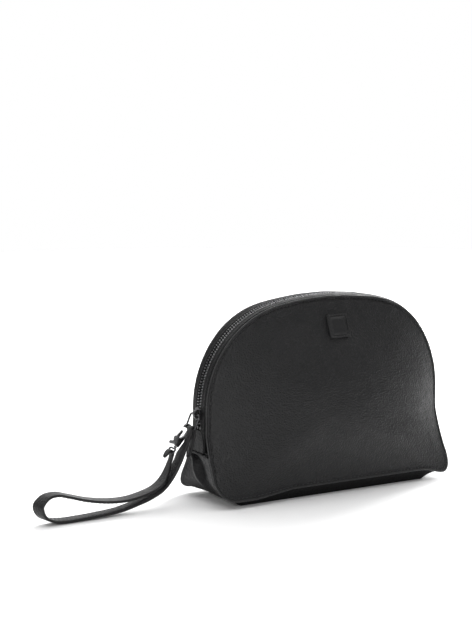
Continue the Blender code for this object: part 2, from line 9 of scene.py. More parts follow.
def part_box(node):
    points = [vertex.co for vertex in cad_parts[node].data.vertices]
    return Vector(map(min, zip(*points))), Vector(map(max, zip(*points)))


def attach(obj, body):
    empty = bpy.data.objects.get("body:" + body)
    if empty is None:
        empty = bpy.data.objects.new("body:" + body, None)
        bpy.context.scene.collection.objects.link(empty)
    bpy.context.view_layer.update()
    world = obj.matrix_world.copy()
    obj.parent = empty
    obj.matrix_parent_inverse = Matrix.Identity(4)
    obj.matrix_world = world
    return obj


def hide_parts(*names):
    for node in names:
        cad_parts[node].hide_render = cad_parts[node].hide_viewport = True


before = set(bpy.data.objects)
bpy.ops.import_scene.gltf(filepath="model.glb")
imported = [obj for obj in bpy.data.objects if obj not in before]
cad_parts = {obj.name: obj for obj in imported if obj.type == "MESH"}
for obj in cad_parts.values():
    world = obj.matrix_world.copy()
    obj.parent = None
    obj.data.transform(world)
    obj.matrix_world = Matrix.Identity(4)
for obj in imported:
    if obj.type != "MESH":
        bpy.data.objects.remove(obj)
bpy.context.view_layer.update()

# Driving dimensions, in metres, the same as the solids'
piping_low, piping_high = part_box("front_piping")
PIPING_R = 0.0011
HALF_WIDTH = 0.1130          # of the bag at the height of its shoulders
TOP_Z = piping_high[2] - PIPING_R
SEAM_Z = piping_low[2] + PIPING_R
SHOULDER_Z = 0.0781
SHOULDER_R = 0.0825
CORNER_R = 0.0174
BASE_FLARE = 0.0019          # how much wider each side is at the floor
FLARE_CURVE = 1.3            # how late the sides and the seams spread towards the floor
TOP_HALF_DEPTH = 0.0115      # from the middle of the zip to a panel's seam
BASE_HALF_DEPTH = 0.0380
FLARE_Z = 0.0600             # below this height the seams spread
ZIP_END_Z = 0.0440
PUFF = 0.0130                # how far a panel bulges past its seam
PUFF_CURVE = 2.6             # how square that bulge is
PANEL_CENTRE_Z = 0.0750
PANEL_POINTS = 260           # points along half of a panel's edge
LEATHER = 0.0012
GAP = 0.0003                 # clearance between neighbouring pieces
CHAIN_HALF = 0.0030
CHAIN_SLOT = 0.00075         # half of the slot that the slider's post runs in
FACING_EDGE = 0.0034
TOOTH_PITCH = 0.0023
TOOTH_HALF = TOOTH_PITCH * 0.235
TAPE_T = 0.0005
END_ROLL_R = 0.0011
SLIDER_Z = 0.0743
SLIDER_L = 0.0106
STITCH_IN = 0.0020           # the topstitching runs this far inside the seam
STITCH_PITCH = 0.0036
STITCH_LENGTH = 0.0024
STITCH_R = 0.00028
FINE_STITCH_R = 0.00022
BADGE_X = 0.0072
BADGE_Z = 0.1390
BADGE_HALF = 0.0100
BADGE_RAISE = 0.0006
BADGE_FACE = 0.00178         # height of the patch's face over its back
RING_PIVOT = Vector((-HALF_WIDTH - 0.0041, 0.0, SLIDER_Z))
RING_END = Vector((-0.1222, 0.0, 0.0628))
RING_HALF = 0.0073
RING_CORNER = 0.0020
WIRE_R = 0.0008
TAB_Y = -0.0026              # the strap's end on the ring lies this far in front of the middle
TAB_W = 0.0070
CLASP_Y = 0.0044
BODY_END = 0.0176            # where the clasp's body ends, from the ring along its axis
EYE_BAR = 0.0250             # where the strap folds over the eye
EYE_HALF = 0.0046
EYE_CORNER = 0.0014
EYE_W = 0.0064               # width of the strap inside the eye
BAND_T = 0.0024
BAND_W = 0.0120
CLASP_AXIS = Vector((-0.0178, 0.0, -0.0208)).normalized()
CLASP_SIDE = Vector((CLASP_AXIS.z, 0.0, -CLASP_AXIS.x))

# Camera and room
FLOOR_R = 1.6
FLOOR_SIDES = 96
VIEW_TURN = math.radians(29.8)
VIEW_RISE = math.radians(9.3)
VIEW_DISTANCE = 1.5155
VIEW_LENS = 106.35
VIEW_TARGET = Vector((-0.0792, 0.0, 0.1528))


# ---------------------------------------------------------------- camera, light and floor
def make_camera():
    """The camera at the photograph's angle."""
    back = Vector((-math.sin(VIEW_TURN) * math.cos(VIEW_RISE), -math.cos(VIEW_TURN) * math.cos(VIEW_RISE),
                   math.sin(VIEW_RISE)))
    camera = bpy.data.objects.new("camera", bpy.data.cameras.new("camera"))
    camera.data.lens = VIEW_LENS
    camera.data.sensor_width = 36.0
    camera.data.clip_start = 0.05
    camera.location = VIEW_TARGET + back * VIEW_DISTANCE
    camera.rotation_mode = "QUATERNION"
    camera.rotation_quaternion = (-back).to_track_quat("-Z", "Y")
    bpy.context.scene.collection.objects.link(camera)
    bpy.context.scene.camera = camera


def area_light(name, place, aim, width, height, power):
    light = bpy.data.lights.new(name, "AREA")
    light.shape = "RECTANGLE"
    light.size = width
    light.size_y = height
    light.energy = power
    obj = bpy.data.objects.new(name, light)
    obj.location = place
    obj.rotation_mode = "QUATERNION"
    obj.rotation_quaternion = (Vector(aim) - Vector(place)).to_track_quat("-Z", "Y")
    bpy.context.scene.collection.objects.link(obj)


def make_world():
    """A white room that is bright behind the bag and darker in front and to its left."""
    world = bpy.data.worlds.new("studio")
    world.use_nodes = True
    tree = world.node_tree
    background = tree.nodes["Background"]
    background.inputs["Color"].default_value = (1.0, 1.0, 1.0, 1.0)
    along = tree.nodes.new("ShaderNodeVectorMath")
    along.operation = "DOT_PRODUCT"
    along.inputs[1].default_value = (0.55, 0.83, 0.0)
    fade = tree.nodes.new("ShaderNodeMapRange")
    fade.inputs["From Min"].default_value = 0.0
    fade.inputs["From Max"].default_value = 0.92
    fade.inputs["To Min"].default_value = 0.22
    fade.inputs["To Max"].default_value = 1.0
    tree.links.new(tree.nodes.new("ShaderNodeTexCoord").outputs["Generated"], along.inputs[0])
    tree.links.new(along.outputs["Value"], fade.inputs["Value"])
    tree.links.new(fade.outputs["Result"], background.inputs["Strength"])
    bpy.context.scene.world = world
    bpy.context.scene.view_settings.view_transform = "Standard"


def make_studio():
    """A soft key from the front, a light for each end of the bag, a wide light from above, and the floor."""
    make_world()
    area_light("front_high", (-0.42, -1.5, 0.95), (0, 0, 0.08), 0.5, 0.5, 2.5)
    area_light("left_front", (-1.15, -1.0, 0.62), (-0.08, 0, 0.09), 0.3, 0.3, 6)
    area_light("right_strip", (0.96, 0.58, 0.48), (0.08, 0, 0.09), 0.36, 1.0, 26)
    sun = bpy.data.lights.new("sky", "SUN")
    sun.energy = 2.6
    sun.angle = 1.7
    obj = bpy.data.objects.new("sky", sun)
    obj.rotation_mode = "QUATERNION"
    obj.rotation_quaternion = Vector((-0.15, -0.30, -1.0)).to_track_quat("-Z", "Y")
    bpy.context.scene.collection.objects.link(obj)

    turns = [2 * math.pi * k / FLOOR_SIDES for k in range(FLOOR_SIDES)]
    ring = [(FLOOR_R * math.cos(a), FLOOR_R * math.sin(a), 0.0) for a in turns]
    mesh = bpy.data.meshes.new("floor")
    mesh.from_pydata(ring, [], [tuple(range(FLOOR_SIDES))])
    floor = bpy.data.objects.new("floor", mesh)
    bpy.context.scene.collection.objects.link(floor)
    floor.data.materials.append(plain("floor", (0.93, 0.93, 0.93), 0.95))


# ---------------------------------------------------------------- materials
def plain(name, colour, roughness, metallic=0.0):
    """A material of one colour, which the others build on."""
    mat = bpy.data.materials.new(name)
    mat.use_nodes = True
    shader = mat.node_tree.nodes["Principled BSDF"]
    shader.inputs["Base Color"].default_value = (*colour, 1.0)
    shader.inputs["Roughness"].default_value = roughness
    shader.inputs["Metallic"].default_value = metallic
    return mat


class Nodes:
    """Short calls for building one material's nodes."""

    def __init__(self, mat):
        self.tree = mat.node_tree
        self.shader = self.tree.nodes["Principled BSDF"]
        self.place = self.tree.nodes.new("ShaderNodeTexCoord").outputs["Object"]

    def link(self, out, socket):
        self.tree.links.new(out, socket)

    def noise(self, scale, detail):
        node = self.tree.nodes.new("ShaderNodeTexNoise")
        node.inputs["Scale"].default_value = scale
        node.inputs["Detail"].default_value = detail
        node.inputs["Roughness"].default_value = 0.55
        self.link(self.place, node.inputs["Vector"])
        return node.outputs["Fac"]

    def cells(self, scale):
        node = self.tree.nodes.new("ShaderNodeTexVoronoi")
        node.feature = "SMOOTH_F1"
        node.inputs["Scale"].default_value = scale
        self.link(self.place, node.inputs["Vector"])
        return node.outputs["Distance"]

    def ramp(self, fac, low, high, first, last):
        node = self.tree.nodes.new("ShaderNodeMapRange")
        node.inputs["From Min"].default_value = low
        node.inputs["From Max"].default_value = high
        node.inputs["To Min"].default_value = first
        node.inputs["To Max"].default_value = last
        self.link(fac, node.inputs["Value"])
        return node.outputs["Result"]

    def colour(self, fac, first, last):
        node = self.tree.nodes.new("ShaderNodeMix")
        node.data_type = "RGBA"
        node.inputs["A"].default_value = (*first, 1.0)
        node.inputs["B"].default_value = (*last, 1.0)
        self.link(fac, node.inputs["Factor"])
        return node.outputs["Result"]

    def bump(self, height, strength, distance, normal=None):
        node = self.tree.nodes.new("ShaderNodeBump")
        node.inputs["Strength"].default_value = strength
        node.inputs["Distance"].default_value = distance
        self.link(height, node.inputs["Height"])
        if normal is not None:
            self.link(normal, node.inputs["Normal"])
        return node.outputs["Normal"]


def leather(name, dark=(0.0055, 0.0055, 0.0060), light=(0.0095, 0.0095, 0.0101), grain=1.0,
            rough=(0.40, 0.54), gloss=0.32):
    """Fine pebbled faux leather with small soft creases."""
    mat = plain(name, dark, rough[0])
    n = Nodes(mat)
    patches = n.noise(45.0, 4.0)
    n.link(n.colour(patches, dark, light), n.shader.inputs["Base Color"])
    n.link(n.ramp(n.noise(210.0, 2.0), 0.3, 0.7, rough[0], rough[1]), n.shader.inputs["Roughness"])
    pebbles = n.cells(820.0)
    normal = n.bump(pebbles, 1.0 * grain, 0.00062)
    normal = n.bump(n.noise(430.0, 4.0), 0.5 * grain, 0.00045, normal)
    normal = n.bump(n.noise(90.0, 2.0), 0.25, 0.0008, normal)
    n.link(normal, n.shader.inputs["Normal"])
    n.shader.inputs["Specular IOR Level"].default_value = gloss
    return mat


def painted_floor_shade(mat, low=0.004, high=0.017):
    """Paints shade into a leather towards the surface that the bag stands on: its base colour darkens to near
    black there, and it dulls.
    """
    n = Nodes(mat)
    height = n.tree.nodes.new("ShaderNodeSeparateXYZ")
    n.link(n.place, height.inputs[0])
    unshaded_share = n.ramp(height.outputs["Z"], low, high, 0.0, 1.0)
    skin = n.shader.inputs["Base Color"].links[0].from_socket
    node = n.tree.nodes.new("ShaderNodeMix")
    node.data_type = "RGBA"
    # painted shade: the near-black colour that the leather fades to towards the floor
    node.inputs["A"].default_value = (0.0022, 0.0022, 0.0024, 1.0)
    n.link(unshaded_share, node.inputs["Factor"])
    n.link(skin, node.inputs["B"])
    n.link(node.outputs["Result"], n.shader.inputs["Base Color"])
    n.link(n.ramp(height.outputs["Z"], low, high, 0.92, 0.46), n.shader.inputs["Roughness"])
    return mat


def fabric(name, colour, scale=900.0):
    """A tight weave of threads in two directions."""
    mat = plain(name, colour, 0.8)
    n = Nodes(mat)
    waves = []
    for axis in ("X", "Z"):
        node = n.tree.nodes.new("ShaderNodeTexWave")
        node.bands_direction = axis
        node.inputs["Scale"].default_value = scale
        node.inputs["Distortion"].default_value = 0.6
        n.link(n.place, node.inputs["Vector"])
        waves.append(node.outputs["Fac"])
    mix = n.tree.nodes.new("ShaderNodeMath")
    mix.operation = "MAXIMUM"
    n.link(waves[0], mix.inputs[0])
    n.link(waves[1], mix.inputs[1])
    light = tuple(min(1.0, c * 1.7) for c in colour)
    n.link(n.colour(mix.outputs[0], colour, light), n.shader.inputs["Base Color"])
    n.link(n.bump(mix.outputs[0], 0.5, 0.0002), n.shader.inputs["Normal"])
    return mat


def metal(name, colour, rough=(0.22, 0.36)):
    """Plated gunmetal with faint handling marks."""
    mat = plain(name, colour, rough[0], 1.0)
    n = Nodes(mat)
    light = tuple(c * 1.25 for c in colour)
    n.link(n.colour(n.noise(260.0, 3.0), colour, light), n.shader.inputs["Base Color"])
    n.link(n.ramp(n.noise(420.0, 3.0), 0.3, 0.7, rough[0], rough[1]), n.shader.inputs["Roughness"])
    n.link(n.bump(n.noise(1500.0, 2.0), 0.12, 0.0001), n.shader.inputs["Normal"])
    return mat


def thread(name):
    """Twisted black sewing thread."""
    mat = plain(name, (0.016, 0.016, 0.017), 0.6)
    n = Nodes(mat)
    node = n.tree.nodes.new("ShaderNodeTexWave")
    node.inputs["Scale"].default_value = 1800.0
    n.link(n.place, node.inputs["Vector"])
    n.link(n.colour(node.outputs["Fac"], (0.010, 0.010, 0.011), (0.028, 0.028, 0.030)),
           n.shader.inputs["Base Color"])
    n.link(n.bump(node.outputs["Fac"], 0.5, 0.0001), n.shader.inputs["Normal"])
    return mat


LEATHER_SKIN = leather("panel_leather")
# the base band's leather, with shade painted into its colour towards the floor
LEATHER_BASE = painted_floor_shade(leather("base_leather", gloss=0.20))
LEATHER_WELT = leather("welt_leather", grain=0.5, rough=(0.30, 0.40), gloss=0.50)
LEATHER_TRIM = leather("trim_leather", (0.0040, 0.0040, 0.0043), (0.0065, 0.0065, 0.0070), 0.8,
                       (0.46, 0.58), 0.14)
LEATHER_BADGE = leather("badge_leather", (0.0065, 0.0065, 0.007), (0.0105, 0.0105, 0.011), 0.6, (0.44, 0.56))
# the strap's face is a lighter copy of the bag's leather: the extra lightness is a painted sheen for the
# sky's reflection on it
SHEENED_BAND_FACE = leather("band_leather", (0.008, 0.008, 0.0085), (0.014, 0.014, 0.0147), 0.9,
                    (0.40, 0.54), 0.24)
EDGE_PAINT = leather("edge_paint", (0.005, 0.005, 0.0055), (0.008, 0.008, 0.0085), 0.2, (0.30, 0.38))
TAPE = fabric("tape_weave", (0.010, 0.010, 0.0105))
LINING = fabric("lining_weave", (0.030, 0.030, 0.032), 600.0)
FOAM = fabric("foam_cells", (0.22, 0.215, 0.205), 300.0)
GUNMETAL = metal("gunmetal", (0.055, 0.055, 0.058))
CLASP_METAL = metal("clasp_metal", (0.10, 0.10, 0.103))
TOOTH_METAL = metal("tooth_metal", (0.21, 0.21, 0.215), (0.22, 0.34))
THREAD = thread("thread")


# ---------------------------------------------------------------- mesh helpers
def add_mesh(name, verts, faces, body, look):
    """A smooth mesh object with outward faces, riding on a body."""
    mesh = bpy.data.meshes.new(name)
    mesh.from_pydata([tuple(v) for v in verts], [], faces)
    mesh.validate()
    bm = bmesh.new()
    bm.from_mesh(mesh)
    bmesh.ops.recalc_face_normals(bm, faces=bm.faces)
    bm.to_mesh(mesh)
    bm.free()
    mesh.shade_smooth()
    obj = bpy.data.objects.new(name, mesh)
    bpy.context.scene.collection.objects.link(obj)
    mesh.materials.append(look)
    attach(obj, body)
    return obj


def bevelled_copy(node, body, look, width):
    """A CAD node's shape with rounded edges, in place of the node."""
    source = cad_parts[node]
    mesh = source.data.copy()
    mesh.name = node + "_finish"
    mesh.materials.clear()
    mesh.materials.append(look)
    obj = bpy.data.objects.new(node + "_finish", mesh)
    bpy.context.scene.collection.objects.link(obj)
    bm = bmesh.new()
    bm.from_mesh(mesh)
    bmesh.ops.remove_doubles(bm, verts=bm.verts, dist=0.000002)
    bmesh.ops.dissolve_limit(bm, angle_limit=math.radians(3), verts=bm.verts, edges=bm.edges)
    bm.to_mesh(mesh)
    bm.free()
    bevel = obj.modifiers.new("edge", "BEVEL")
    bevel.width = width
    bevel.segments = 3
    bevel.limit_method = "ANGLE"
    bevel.angle_limit = math.radians(28)
    bevel.harden_normals = False
    mesh.shade_smooth()
    mesh.set_sharp_from_angle(angle=math.radians(50))
    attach(obj, body)
    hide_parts(node)
    return obj


def thicken(obj, thickness):
    """Turns a sheet that faces outward into a thin shell that reaches inward."""
    shell = obj.modifiers.new("thickness", "SOLIDIFY")
    shell.thickness = thickness
    shell.offset = -1


def tube(name, points, radius, body, look, sides=5, cyclic=True):
    """A round cord or wire through a list of points."""
    curve = bpy.data.curves.new(name, "CURVE")
    curve.dimensions = "3D"
    curve.bevel_depth = radius
    curve.bevel_resolution = sides
    curve.use_fill_caps = not cyclic
    spline = curve.splines.new("POLY")
    spline.points.add(len(points) - 1)
    for slot, p in zip(spline.points, points):
        slot.co = (*p, 1.0)
    spline.use_cyclic_u = cyclic
    spline.use_smooth = True
    obj = bpy.data.objects.new(name, curve)
    bpy.context.scene.collection.objects.link(obj)
    curve.materials.append(look)
    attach(obj, body)
    return obj


def smooth_route(points, steps):
    """Catmull-Rom curve through a list of points."""
    ends = [points[0] * 2 - points[1]] + points + [points[-1] * 2 - points[-2]]
    out = []
    for p0, p1, p2, p3 in zip(ends, ends[1:], ends[2:], ends[3:]):
        for k in range(steps):
            t = k / steps
            out.append(0.5 * (2 * p1 + (p2 - p0) * t + (2 * p0 - 5 * p1 + 4 * p2 - p3) * t * t
                              + (3 * p1 - p0 - 3 * p2 + p3) * t ** 3))
    out.append(points[-1])
    return out


def quads(rows, around, base=0):
    """Faces of a closed tube whose vertices run ring by ring from a first index."""
    faces = []
    for r in range(rows - 1):
        for a in range(around):
            b = (a + 1) % around
            first, second = base + r * around, base + (r + 1) * around
            faces.append((first + a, first + b, second + b, second + a))
    return faces


# Along, thickness and rise of the rings of one stitch, as shares of its length and radius
THREAD_RINGS = ((-0.5, 0.25, -0.8), (-0.36, 0.9, 0.15), (0.0, 1.0, 0.55), (0.36, 0.9, 0.15),
                (0.5, 0.25, -0.8))
THREAD_SIDES = 6


def stitches(name, path, normals, body, length=STITCH_LENGTH, radius=STITCH_R, lift=0.0,
             pitch=STITCH_PITCH):
    """A row of short threads lying along a path; each end dips into the surface."""
    verts, faces = [], []
    total = running_length(path)
    count = int(total[-1] / pitch)
    k = 0
    for s in range(count):
        centre = (s + 0.5) * total[-1] / count
        while k < len(path) - 2 and total[k + 1] < centre:
            k += 1
        part = (centre - total[k]) / max(total[k + 1] - total[k], 1e-9)
        middle = path[k].lerp(path[k + 1], part)
        ahead = (path[k + 1] - path[k]).normalized()
        out = normals[k].lerp(normals[k + 1], part).normalized()
        side = ahead.cross(out).normalized()
        base = len(verts)
        for along, fat, rise in THREAD_RINGS:
            spot = middle + ahead * (along * length) + out * (rise * radius + lift)
            for a in range(THREAD_SIDES):
                turn = 2 * math.pi * a / THREAD_SIDES
                wide, high = math.cos(turn) * radius * fat, math.sin(turn) * radius * fat
                verts.append(spot + side * wide + out * high)
        faces += quads(len(THREAD_RINGS), THREAD_SIDES, base)
        last = len(verts) - THREAD_SIDES
        faces.append(tuple(base + a for a in range(THREAD_SIDES)))
        faces.append(tuple(last + a for a in reversed(range(THREAD_SIDES))))
    return add_mesh(name, verts, faces, body, THREAD)


# ---------------------------------------------------------------- outline of the seams
CROWN_DROP = SHOULDER_Z - TOP_Z
SHOULDER_X = HALF_WIDTH - SHOULDER_R
CROWN_R = (SHOULDER_R ** 2 - SHOULDER_X ** 2 - CROWN_DROP ** 2) / (2 * (CROWN_DROP + SHOULDER_R))
CROWN_Z = TOP_Z - CROWN_R
SHOULDER_TURN = math.atan2(SHOULDER_Z - CROWN_Z, SHOULDER_X)


def side_x(z):
    """Half of the seam's width at a height on the bag's side."""
    low = max(0.0, (SHOULDER_Z - z) / SHOULDER_Z)
    return HALF_WIDTH + BASE_FLARE * low ** FLARE_CURVE


def half_outline():
    """Dense (x, z) points from the middle of the bottom seam up the +X side to the crown."""
    corner_z = SEAM_Z + CORNER_R
    foot_x = side_x(corner_z)
    points = [((foot_x - CORNER_R) * i / 60, SEAM_Z) for i in range(60)]
    for i in range(24):
        turn = math.radians(90 * i / 24)
        points.append((foot_x - CORNER_R * (1 - math.sin(turn)), corner_z - CORNER_R * math.cos(turn)))
    for i in range(40):
        z = corner_z + (SHOULDER_Z - corner_z) * i / 40
        points.append((side_x(z), z))
    for i in range(80):
        turn = SHOULDER_TURN * i / 80
        points.append((SHOULDER_X + SHOULDER_R * math.cos(turn), SHOULDER_Z + SHOULDER_R * math.sin(turn)))
    for i in range(41):
        turn = SHOULDER_TURN + (math.pi / 2 - SHOULDER_TURN) * i / 40
        points.append((CROWN_R * math.cos(turn), CROWN_Z + CROWN_R * math.sin(turn)))
    return points


DENSE = half_outline()


def running_length(points):
    length = [0.0]
    for p, q in zip(points, points[1:]):
        length.append(length[-1] + math.dist(p, q))
    return length


def resample(points, count):
    """The same line with a number of evenly spaced points."""
    length = running_length(points)
    out = []
    k = 0
    for i in range(count):
        want = length[-1] * i / (count - 1)
        while k < len(points) - 2 and length[k + 1] < want:
            k += 1
        part = (want - length[k]) / (length[k + 1] - length[k])
        out.append(tuple(a + (b - a) * part for a, b in zip(points[k], points[k + 1])))
    return out


def loop_outline(count):
    """The whole closed outline, with a number of points for each half."""
    half = resample(DENSE, count)
    return half + [(-x, z) for x, z in reversed(half[1:-1])]


def split_outline(count, above, end_z=ZIP_END_Z):
    """The open stretch of the outline above or below a height, from -X to +X."""
    part = [p for p in DENSE if (p[1] >= end_z) == above]
    end = (side_x(end_z), end_z)
    part = [end] + part if above else list(reversed(part + [end]))
    half = resample(part, count)
    return [(-x, z) for x, z in half] + list(reversed(half[:-1]))


def outward(path):
    """Unit (x, z) directions that point away from the panel's centre, one for each point."""
    out = []
    for i in range(len(path)):
        x0, z0 = path[max(i - 1, 0)]
        x1, z1 = path[min(i + 1, len(path) - 1)]
        size = math.hypot(x1 - x0, z1 - z0)
        nx, nz = -(z1 - z0) / size, (x1 - x0) / size
        x, z = path[i]
        if nx * x + nz * (z - PANEL_CENTRE_Z) < 0:
            nx, nz = -nx, -nz
        out.append((nx, nz))
    return out


def seam_depth(z):
    """How far a panel's seam is from the middle plane at a height."""
    low = max(0.0, (FLARE_Z - z) / FLARE_Z)
    return TOP_HALF_DEPTH + (BASE_HALF_DEPTH - TOP_HALF_DEPTH) * low ** FLARE_CURVE


def middle_depth(z):
    """How far a panel's middle is from the middle plane at a height."""
    t = min(max((z - SEAM_Z) / (TOP_Z - SEAM_Z), 0.0), 1.0)
    lean = TOP_HALF_DEPTH + (BASE_HALF_DEPTH - TOP_HALF_DEPTH) * (1 - t)
    return lean + PUFF * (1 - abs(2 * t - 1) ** PUFF_CURVE)


def clamp(share):
    return min(1.0, max(0.0, share))


def hump(offset):
    """A smooth rise of 1 that has faded out two or three units away."""
    return math.exp(-offset ** 2)


# How the stuffed bag leans out of its sewn shape
SHOULDER_LOW = 0.0700
RIGHT_FULLNESS = 0.0024
LEFT_FULLNESS = 0.0020       # of the left shoulder's back half only
RIGHT_FOOT = (0.1098, 0.0110, 0.0125)
RIGHT_PULL = Vector((0.0046, 0.0, -0.0042))
LEFT_FOOT = (-0.1098, 0.0130, 0.0130)
LEFT_PULL = Vector((-0.0040, 0.0010, -0.0030))
TUCK_UP = 0.0042
TUCK_IN = 0.0012
FOOT_DEPTH = 0.034


def near_foot(x, z, foot):
    foot_x, foot_z, radius = foot
    return hump(math.hypot(x - foot_x, z - foot_z) / radius)


def settle(p):
    """Fuller shoulders, lower corners drawn out to points, and a bottom seam tucked up between them."""
    x, y, z = p
    reach = math.hypot(x, z - PANEL_CENTRE_Z)
    angle = math.degrees(math.atan2(z - SHOULDER_LOW, abs(x)))
    shoulder = hump((angle - 44) / 20) * clamp((z - SHOULDER_LOW) / 0.02) * min(1.0, reach / 0.10) ** 3
    fullness = RIGHT_FULLNESS if x > 0 else LEFT_FULLNESS * clamp((y - 0.0036) / 0.008)
    move = Vector((x, 0.0, z - PANEL_CENTRE_Z)) * (shoulder * fullness / max(reach, 1e-6))
    corner = near_foot(x, z, RIGHT_FOOT)
    move += RIGHT_PULL * corner * clamp(abs(y) / FOOT_DEPTH) ** 2
    tuck = clamp((x + 0.078) / 0.034) * clamp((abs(y) - 0.024) / 0.010)
    tuck *= clamp(z / 0.005) * hump(max(0.0, z - 0.006) / 0.011)
    move.z += TUCK_UP * tuck * (1 - corner)
    move.y += TUCK_IN * tuck * (1 if y < 0 else -1)
    move += LEFT_PULL * near_foot(x, z, LEFT_FOOT) * clamp(y / FOOT_DEPTH) ** 2
    return Vector(p) + move


# ---------------------------------------------------------------- panels
# Heights of the unevenness in a panel
PUCKER = 0.00065
PUCKER_TURN = 420.0
SLACK = 0.0011
CREASES = 0.00035
EDGE_FOLD = 0.0007
RIDGE = 0.0011
RIDGE_FROM = (-0.030, 0.010)
RIDGE_RUN = (0.0395, 0.0143)
RIDGE_LENGTH = 0.042
RIDGE_HALF = 0.0045
# The turned edge and the topstitching
EDGE_INSET = 0.0004
TURNED_IN = (-0.0016, -0.0008, -0.0002)
RIM_ROWS = (0.0002, 0.0, 0.0004, 0.0009, 0.0013, 0.0017, 0.0020, 0.0023, 0.0027, 0.0036, 0.0050, 0.0068)
STITCH_ROW = RIM_ROWS.index(STITCH_IN)
FIELD_ROWS = 30
FIELD_SHARE = 0.87           # the rest of the panel starts at this share of the outline
GROOVE_DEPTH = 0.00075
GROOVE_HALF = 0.0005
EDGE_RISE = 0.00060
EDGE_IN = 0.0009
EDGE_HALF = 0.0006
WELT_R = PIPING_R * 0.75


def soften(x, z, s, seed):
    """Puckers under the crown seam, slack in the middle, and one soft ridge up from the bottom seam."""
    rim = max(0.0, 1 - (1 - s) / 0.16)
    crown = clamp((z - 0.105) / 0.04)
    pucker = PUCKER * rim * crown * math.sin(x * PUCKER_TURN + 2.0 * noise.noise((x * 60, seed, 0.0)))
    pucker *= 0.5 + noise.noise((x * 35, seed + 4.0, 1.0))
    slack = SLACK * noise.noise((x * 16, z * 20, seed)) * (1 - s ** 6)
    fine = CREASES * noise.noise((x * 55, z * 60, seed + 9.0)) * (1 - s ** 8)
    fold = EDGE_FOLD * max(0.0, 1 - (1 - s) / 0.25) * noise.noise((x * 40, z * 40, seed + 2.0))
    over, up = x - RIDGE_FROM[0], z - RIDGE_FROM[1]
    along = clamp((over * 0.94 + up * 0.34) / RIDGE_LENGTH)
    off = math.hypot(over - RIDGE_RUN[0] * along, up - RIDGE_RUN[1] * along)
    ridge = RIDGE * hump(off / RIDGE_HALF) * (1 - along ** 3) * (1 - s ** 14)
    return pucker + slack + fine + fold + ridge


def panel_depth(x, z, s, seed):
    edge = seam_depth(z)
    depth = edge + (middle_depth(z) - edge) * (1 - s ** PUFF_CURVE)
    return depth + soften(x, z, s, seed)


def panel_grid(ring, side, seed):
    """Rows of points from the turned edge, over the stitched groove, to the panel's middle."""
    around = len(ring)
    field = [FIELD_SHARE * (1 - (i / FIELD_ROWS) ** 1.05) for i in range(FIELD_ROWS)]
    rows = [(True, distance) for distance in RIM_ROWS] + [(False, share) for share in field]
    grid = []
    for number, (on_rim, value) in enumerate(rows):
        turned = TURNED_IN[number] if number < len(TURNED_IN) else 0.0
        row = []
        for k, (x, z) in enumerate(ring):
            x0, z0 = ring[k - 1]
            x1, z1 = ring[(k + 1) % around]
            reach = math.hypot(x, z - PANEL_CENTRE_Z)
            cross = (x1 - x0) * (z - PANEL_CENTRE_Z) - (z1 - z0) * x
            slant = abs(cross) / math.hypot(x1 - x0, z1 - z0) / reach
            s = 1 - (EDGE_INSET + value) / (reach * slant) if on_rim else value
            px, pz = x * s, PANEL_CENTRE_Z + (z - PANEL_CENTRE_Z) * s
            from_rim = (1 - s) * reach * slant - EDGE_INSET
            sewn = clamp((pz - 0.016) / 0.012)
            groove = -GROOVE_DEPTH * sewn * hump((from_rim - STITCH_IN) / GROOVE_HALF)
            edge = EDGE_RISE * (0.4 + 0.6 * sewn) * hump((from_rim - EDGE_IN) / EDGE_HALF)
            depth = panel_depth(px, pz, s, seed) + groove + edge + turned
            row.append(settle((px, -side * depth, pz)))
        grid.append(row)
    return grid


def topstitching(label, side, grid):
    around = len(grid[0])
    near, line, far = (grid[STITCH_ROW + step] + [grid[STITCH_ROW + step][0]] for step in (2, 0, -2))
    normals = []
    for i in range(len(line)):
        ahead = line[(i + 1) % around] - line[i - 1]
        out = ahead.cross(near[i] - far[i]).normalized()
        normals.append(out if out.y * side < 0 else -out)
    row = stitches(label + "_stitches", line, normals, "bag", lift=STITCH_R)


def piping(label, side, ring, seed):
    """The thin welt in the seam between a panel and the gusset."""
    welt = []
    for x, z in ring:
        wobble = 0.00015 * noise.noise((x * 90, z * 90, seed))
        inner = 1 - 0.0003 / math.hypot(x, z - PANEL_CENTRE_Z)
        depth = seam_depth(z) - 0.0006 + wobble
        welt.append(settle((x * inner, -side * depth, PANEL_CENTRE_Z + (z - PANEL_CENTRE_Z) * inner)))
    piece = tube(label + "_piping_skin", welt, WELT_R, "bag", LEATHER_WELT)
    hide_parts(label + "_piping")


def panel(label, side):
    """The outer leather of one panel with its topstitching and piping. side is 1 at the front."""
    ring = loop_outline(PANEL_POINTS)
    around = len(ring)
    seed = 3.0 if side > 0 else 17.0
    grid = panel_grid(ring, side, seed)
    verts = [p for row in grid for p in row]
    faces = quads(len(grid), around)
    last = (len(grid) - 1) * around
    verts.append(sum(grid[-1], Vector()) / around)
    faces += [(last + j, last + (j + 1) % around, len(verts) - 1) for j in range(around)]
    obj = add_mesh(label + "_panel_skin", verts, faces, "bag", LEATHER_SKIN)
    if (obj.data.polygons[0].normal.y > 0) == (side > 0):
        obj.data.flip_normals()
    thicken(obj, LEATHER)
    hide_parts(label + "_panel")
    topstitching(label, side, grid)
    piping(label, side, ring, seed)


# ---------------------------------------------------------------- gusset
def strip(name, look, path, profile, thickness):
    """A sheet along the gusset. profile(x, z) lists (y, rise over the outline) from edge to edge."""
    normals = outward(path)
    verts, faces = [], []
    for (x, z), (nx, nz) in zip(path, normals):
        points = profile(x, z)
        verts += [settle((x + nx * rise, y, z + nz * rise)) for y, rise in points]
    cols = len(points)
    for i in range(len(path) - 1):
        for j in range(cols - 1):
            a = i * cols + j
            faces.append((a, a + 1, a + cols + 1, a + cols))
    obj = add_mesh(name, verts, faces, "bag", look)
    middle = obj.data.polygons[len(obj.data.polygons) // 2]
    if middle.normal.dot(middle.center - Vector((0, 0, PANEL_CENTRE_Z))) < 0:
        obj.data.flip_normals()
    thicken(obj, thickness)
    return obj


HALVES = (("front", -1), ("back", 1))


